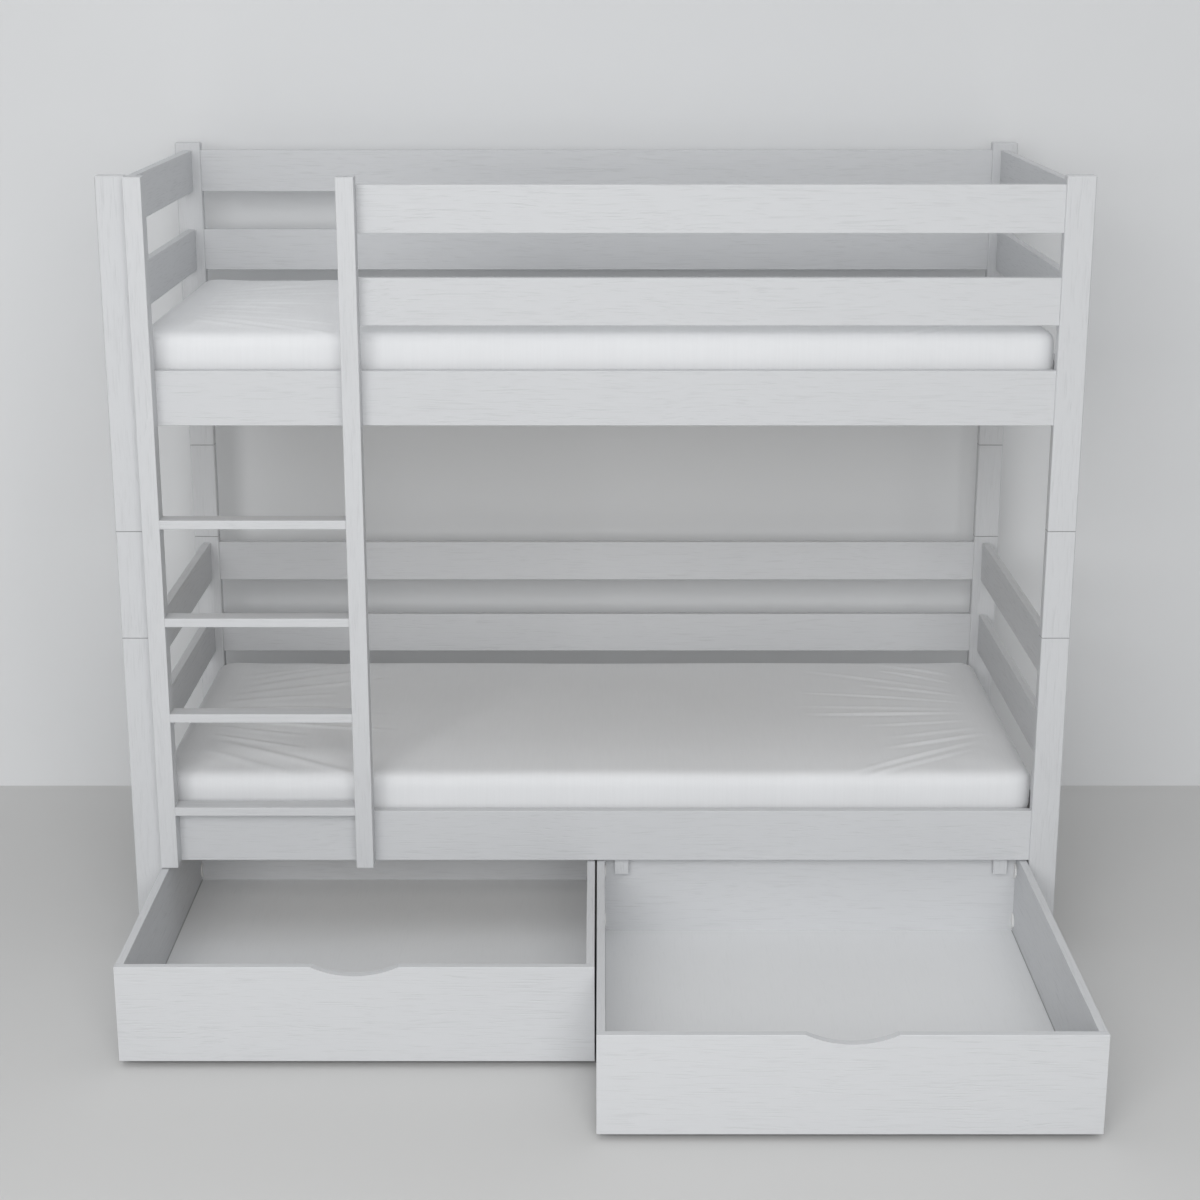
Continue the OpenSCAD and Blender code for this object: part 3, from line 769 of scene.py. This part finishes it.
@dataclass
class Mattress:
    """A foam mattress in a tight cotton cover, in the room of its CAD solid.

    Args:
        node: The CAD solid it stands for.
        seed: Sets the small differences between one mattress and the next.
        edge: Radius of the long upper and lower edges.
        corner: Radius of the upright corners.
        grid: Sizes of one mesh square before smoothing, along X, Y and Z.
        inset: How far the cover starts inside its room before it swells.
        swell: The most that a point may move as the cover swells.
        frames: How many frames it swells for.
        fan: How many creases one fan has.
        fan_step: How far one crease of a fan starts from the next.
        wave: Height of the faint unevenness of the top.
    """

    node: str
    seed: int
    edge: float = 0.026
    corner: float = 0.045
    grid: tuple[float, float, float] = (0.02, 0.0136, 0.0125)
    inset: float = 0.003
    swell: float = 0.0045
    frames: int = 14
    fan: int = 6
    fan_step: float = 0.047
    wave: float = 0.0006
    low: Vector = field(init=False)
    high: Vector = field(init=False)

    def __post_init__(self) -> None:
        """Reads its room from the frame."""
        self.low, self.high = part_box(self.node)

    def build(self) -> bpy.types.Object:
        """Builds the cover, lets it swell, lays in its creases and puts it in place of the CAD solid.

        Returns:
            The finished mattress.
        """
        cover = self.shell()
        self.puff(cover)
        self.smooth(cover)
        self.crease(cover)
        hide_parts(self.node)
        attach(cover, "frame")
        return cover

    def shell(self) -> bpy.types.Object:
        """Makes the closed shell: a fine box whose edges and corners are rounded over.

        Returns:
            The shell as an object, centred in the room of the CAD solid.
        """
        half = np.array((self.high - self.low) / 2) - np.array((self.inset, self.inset, self.inset / 2))
        middle = np.array((self.high + self.low) / 2)
        mesh = bpy.data.meshes.new(self.node + "_cover")
        form = bmesh.new()
        self.box_of_squares(form, half)
        co = np.array([v.co for v in form.verts])
        co = self.round_over(co, half) + middle - np.array((0, 0, self.inset / 2))
        for vert, place in zip(form.verts, co, strict=True):
            vert.co = place
        bmesh.ops.recalc_face_normals(form, faces=form.faces)
        form.to_mesh(mesh)
        form.free()
        mesh.shade_smooth()
        cover = bpy.data.objects.new(self.node + "_cover", mesh)
        bpy.context.scene.collection.objects.link(cover)
        return cover

    def box_of_squares(self, form: bmesh.types.BMesh, half: np.ndarray) -> None:
        """Lays six grids of squares into a closed box.

        Args:
            form: The mesh in the making.
            half: Half the box's sides.
        """
        counts = [max(4, round(2 * h / g)) for h, g in zip(half, self.grid, strict=True)]
        for axis in range(3):
            u, v = [a for a in range(3) if a != axis]
            for end in (-1, 1):
                rows = []
                for i in range(counts[u] + 1):
                    row = []
                    for j in range(counts[v] + 1):
                        place = [0.0, 0.0, 0.0]
                        place[axis] = end * half[axis]
                        place[u] = half[u] * (2 * i / counts[u] - 1)
                        place[v] = half[v] * (2 * j / counts[v] - 1)
                        row.append(form.verts.new(place))
                    rows.append(row)
                for i in range(counts[u]):
                    for j in range(counts[v]):
                        form.faces.new((rows[i][j], rows[i + 1][j], rows[i + 1][j + 1], rows[i][j + 1]))
        bmesh.ops.remove_doubles(form, verts=form.verts, dist=1e-5)

    def round_over(self, co: np.ndarray, half: np.ndarray) -> np.ndarray:
        """Rounds a box's upright corners, then its upper and lower edges.

        Args:
            co: The points on the box.
            half: Half the box's sides.

        Returns:
            The points on the rounded form.
        """
        out = co.copy()
        core = half[:2] - self.corner
        beyond = np.sign(co[:, :2]) * np.maximum(np.abs(co[:, :2]) - core, 0.0)
        square = np.abs(beyond).max(axis=1)
        round_ = np.maximum(np.linalg.norm(beyond, axis=1), 1e-9)
        out[:, :2] += beyond * ((square / round_) - 1.0)[:, None]
        depth = np.maximum(self.edge - (self.corner - square), 0.0)
        height = np.maximum(np.abs(co[:, 2]) - (half[2] - self.edge), 0.0)
        ratio = np.maximum(depth, height) / np.maximum(np.hypot(depth, height), 1e-9)
        outward = np.zeros_like(co[:, :2])
        both = np.linalg.norm(beyond, axis=1) > 1e-9
        outward[both] = beyond[both] / round_[both][:, None]
        out[:, :2] += outward * (depth * (ratio - 1.0))[:, None]
        out[:, 2] += np.sign(co[:, 2]) * height * (ratio - 1.0)
        return out

    def puff(self, cover: bpy.types.Object) -> None:
        """Swells the cover with a short cloth run, held at its underside, and keeps the capped result.

        Args:
            cover: The shell.
        """
        start = self.points(cover)
        held = cover.vertex_groups.new(name="held")
        low = start[:, 2].min()
        held.add([int(i) for i in np.nonzero(start[:, 2] < low + 0.004)[0]], 1.0, "REPLACE")
        cloth = cover.modifiers.new("swell", "CLOTH")
        cloth.settings.quality = 4
        cloth.settings.mass = 0.25
        cloth.settings.tension_stiffness = 12
        cloth.settings.compression_stiffness = 8
        cloth.settings.bending_stiffness = 0.6
        cloth.settings.use_pressure = True
        cloth.settings.uniform_pressure_force = 4
        cloth.settings.vertex_group_mass = "held"
        cloth.settings.effector_weights.gravity = 0
        cloth.collision_settings.use_collision = False
        cloth.point_cache.frame_start = 1
        cloth.point_cache.frame_end = self.frames
        scene = bpy.context.scene
        for frame in range(1, self.frames + 1):
            scene.frame_set(frame)
        grown = cover.evaluated_get(bpy.context.evaluated_depsgraph_get())
        ended = self.points(grown)
        cover.modifiers.remove(cloth)
        cover.vertex_groups.clear()
        moved = ended - start
        far = np.linalg.norm(moved, axis=1)
        moved *= (np.minimum(far, self.swell) / np.maximum(far, 1e-9))[:, None]
        self.set_points(cover, start + moved)
        scene.frame_set(1)

    def smooth(self, cover: bpy.types.Object) -> None:
        """Adds two subdivisions and makes them part of the mesh.

        Args:
            cover: The swollen shell.
        """
        soft = cover.modifiers.new("soft", "SUBSURF")
        soft.levels = soft.render_levels = 2
        made = bpy.data.meshes.new_from_object(cover.evaluated_get(bpy.context.evaluated_depsgraph_get()))
        cover.modifiers.remove(soft)
        old, cover.data = cover.data, made
        bpy.data.meshes.remove(old)
        cover.data.name = cover.name
        cover.data.shade_smooth()

    def folds(self) -> list[Crease]:
        """Lists the creases that fan out from each short end, longer and softer ones at the left end.

        Returns:
            The creases, in the mattress's own plan.
        """
        chance = np.random.RandomState(self.seed)
        reach = (self.high.x - self.low.x) / 2 - 0.065
        found = []
        for end in (-1, 1):
            for pile in Pile:
                strong = 1.6 if end < 0 else 1.0
                for i in range(self.fan):
                    across = 0.012 + self.fan_step * i + chance.uniform(-0.008, 0.008)
                    slope = min(0.64, 0.08 + 0.15 * i) * chance.uniform(0.85, 1.1)
                    heading = math.atan2(pile.value * slope, -end)
                    turn = -end * pile.value
                    found.append(
                        Crease(
                            start=(end * (reach - chance.uniform(0.0, 0.035)), pile.value * across),
                            heading=heading,
                            length=chance.uniform(0.16, 0.36) * (0.8 + 0.3 * strong),
                            width=chance.uniform(0.005, 0.0085) * strong,
                            rise=chance.uniform(0.0011, 0.0027) * strong,
                            bend=-turn * chance.uniform(0.0, 0.02),
                        )
                    )
        return found

    def crease(self, cover: bpy.types.Object) -> None:
        """Lays the creases and a faint unevenness into the top of the cover.

        Args:
            cover: The smoothed cover.
        """
        co = self.points(cover)
        plan = co[:, :2] - np.array((self.low + self.high).xy) / 2
        top = np.clip((co[:, 2] - (self.high.z - 0.03)) / 0.022, 0.0, 1.0)
        lift = sum(fold.lift(plan) for fold in self.folds())
        wave = np.sin(plan[:, 0] * 9.0 + self.seed) * np.sin(plan[:, 1] * 13.0 + 2.0 * self.seed)
        co[:, 2] += top * (lift + self.wave * wave)
        self.set_points(cover, co)

    @staticmethod
    def points(thing: bpy.types.Object) -> np.ndarray:
        """Returns a mesh's points as an array."""
        flat = np.empty(len(thing.data.vertices) * 3, np.float32)
        thing.data.vertices.foreach_get("co", flat)
        return flat.reshape(-1, 3).astype(float)

    @staticmethod
    def set_points(thing: bpy.types.Object, co: np.ndarray) -> None:
        """Moves a mesh's points to an array's places."""
        thing.data.vertices.foreach_set("co", co.astype(np.float32).ravel())
        thing.data.update()


# ---------------------------------------------------------------------- studio


@dataclass
class Studio:
    """The plain pale floor and backdrop, the soft light and the camera.

    Args:
        air: Colour of the light from all sides.
        low_air: Its strength near the horizon.
        high_air: What it gains overhead.
        backdrop: How bright it looks where nothing stands in front of it.
        ground: Colour of the floor.
        wall: Colour of the backdrop.
        reach: How far floor and backdrop go to each side.
        wall_place: How far behind the middle of the bed the backdrop stands.
        wall_height: Its height.
        lamp_place: Where the lamp hangs.
        lamp_aim: The point it faces.
        lamp_size: Its width and height.
        lamp_power: Its power in watts.
        eye: Where the camera stands.
        tilt: How far it looks down.
        lens: Its focal length in millimetres.
    """

    air: Colour = (0.985, 0.992, 1.0)
    low_air: float = 0.155
    high_air: float = 0.72
    backdrop: float = 0.84
    ground: Colour = (0.64, 0.64, 0.635)
    wall: Colour = (0.8, 0.81, 0.82)
    reach: float = 14.0
    wall_place: float = 0.56
    wall_height: float = 3.4
    lamp_place: Point = (-0.5, -5.6, 2.6)
    lamp_aim: Point = (0.0, 0.0, 0.9)
    lamp_size: tuple[float, float] = (4.8, 2.9)
    lamp_power: float = 192.0
    eye: Point = (0.0082, -4.7076, 1.9772)
    tilt: float = 0.276
    lens: float = 66.9

    def build(self) -> None:
        """Builds the floor, the backdrop, the light and the camera."""
        far, back, top = self.reach, self.wall_place, self.wall_height
        ground = self.pale_paint("pale_floor", self.ground)
        level = ((-far, -far, 0), (far, -far, 0), (far, far, 0), (-far, far, 0))
        self.sheet("studio_floor", level, ground)
        wall = self.pale_paint("pale_backdrop", self.wall)
        upright = ((-far, back, 0), (far, back, 0), (far, back, top), (-far, back, top))
        self.sheet("studio_backdrop", upright, wall)
        self.daylight()
        self.lamp()
        self.camera()

    @staticmethod
    def pale_paint(name: str, colour: Colour) -> bpy.types.Material:
        """Makes a matt paint of the studio, which lets the eye through from behind.

        Args:
            name: The material's name.
            colour: Its colour.

        Returns:
            The material.
        """
        material = bpy.data.materials.new(name)
        material.use_nodes = True
        material.node_tree.nodes.clear()
        bench = NodeBench(material.node_tree)
        matt = bench.lay("ShaderNodeBsdfPrincipled", Base_Color=(*colour, 1.0), Roughness=0.8)
        clear = bench.lay("ShaderNodeBsdfTransparent")
        behind = bench.lay("ShaderNodeNewGeometry").outputs["Backfacing"]
        both = bench.lay("ShaderNodeMixShader", i0=behind, i1=matt.outputs[0], i2=clear.outputs[0])
        bench.lay("ShaderNodeOutputMaterial", Surface=both.outputs[0])
        return material

    @staticmethod
    def sheet(name: str, corners: tuple[Point, ...], finish: bpy.types.Material) -> None:
        """Lays one flat sheet of the studio, which isn't part of the object.

        Args:
            name: The sheet's name.
            corners: Its corners, anticlockwise as the bed sees them.
            finish: Its paint.
        """
        mesh = bpy.data.meshes.new(name)
        mesh.from_pydata(corners, [], [(0, 1, 2, 3)])
        mesh.materials.append(finish)
        thing = bpy.data.objects.new(name, mesh)
        bpy.context.scene.collection.objects.link(thing)

    def daylight(self) -> None:
        """Sets the light from all sides, weak near the horizon and strong overhead."""
        world = bpy.data.worlds.new("soft_room")
        bpy.context.scene.world = world
        world.use_nodes = True
        world.node_tree.nodes.clear()
        bench = NodeBench(world.node_tree)
        turn = bench.lay("ShaderNodeTexCoord").outputs["Generated"]
        height = bench.lay("ShaderNodeSeparateXYZ", Vector=turn).outputs["Z"]
        overhead = bench.sum_up("POWER", bench.sum_up("MAXIMUM", height, 0.0), 2.0)
        glow = bench.sum_up("MULTIPLY_ADD", overhead, self.high_air, self.low_air)
        lit = bench.lay("ShaderNodeBackground", Color=(*self.air, 1.0), Strength=glow).outputs[0]
        seen = bench.lay("ShaderNodeBackground", Color=(*self.air, 1.0), Strength=self.backdrop).outputs[0]
        eye = bench.lay("ShaderNodeLightPath").outputs["Is Camera Ray"]
        both = bench.lay("ShaderNodeMixShader", i0=eye, i1=lit, i2=seen).outputs[0]
        bench.lay("ShaderNodeOutputWorld", Surface=both)

    def lamp(self) -> None:
        """Hangs the one soft lamp, in front of the bed like a wide window."""
        data = bpy.data.lights.new("front_window", "AREA")
        data.shape = "RECTANGLE"
        data.size, data.size_y = self.lamp_size
        data.energy = self.lamp_power
        lamp = bpy.data.objects.new("front_window", data)
        lamp.location = self.lamp_place
        aim = Vector(self.lamp_aim) - Vector(self.lamp_place)
        lamp.rotation_euler = aim.to_track_quat("-Z", "Y").to_euler()
        lamp.visible_camera = False
        bpy.context.scene.collection.objects.link(lamp)

    def camera(self) -> None:
        """Sets the camera in front of the bed, a little above its top, looking slightly down."""
        data = bpy.data.cameras.new("front_view")
        data.sensor_width = 36.0
        data.lens = self.lens
        data.clip_end = 60.0
        camera = bpy.data.objects.new("front_view", data)
        camera.location = self.eye
        camera.rotation_euler = (math.pi / 2 - self.tilt, 0.0, 0.0)
        bpy.context.scene.collection.objects.link(camera)
        bpy.context.scene.camera = camera


def keep_sizes(made: Callable[[], None]) -> None:
    """Runs the making between two updates of the view layer.

    Args:
        made: What builds and dresses the object.
    """
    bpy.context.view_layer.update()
    made()
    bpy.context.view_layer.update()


def main() -> None:
    """Builds the bed's looks in order and reports each piece."""
    logging.basicConfig(level=logging.INFO, format="%(name)s: %(message)s")
    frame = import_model()
    nodes = frame["nodes"]
    scene = bpy.context.scene
    scene.view_settings.view_transform = "Standard"

    def bed() -> None:
        """Dresses the CAD pieces and builds the mattresses."""
        finishes = Finishes(Effects())
        for part in (BedFrames(nodes), Ladder(nodes), Drawer(nodes, "left"), Drawer(nodes, "right")):
            log.info("%s: %d pieces dressed", type(part).__name__, part.dress(finishes))
        for node, seed in (("lower_mattress", 11), ("upper_mattress", 23)):
            cover = Mattress(node, seed).build()
            cover.data.materials.clear()
            cover.data.materials.append(finishes.cotton)
            log.info("%s: %d points", cover.name, len(cover.data.vertices))

    keep_sizes(bed)
    Studio().build()


if __name__ == "__main__":
    main()
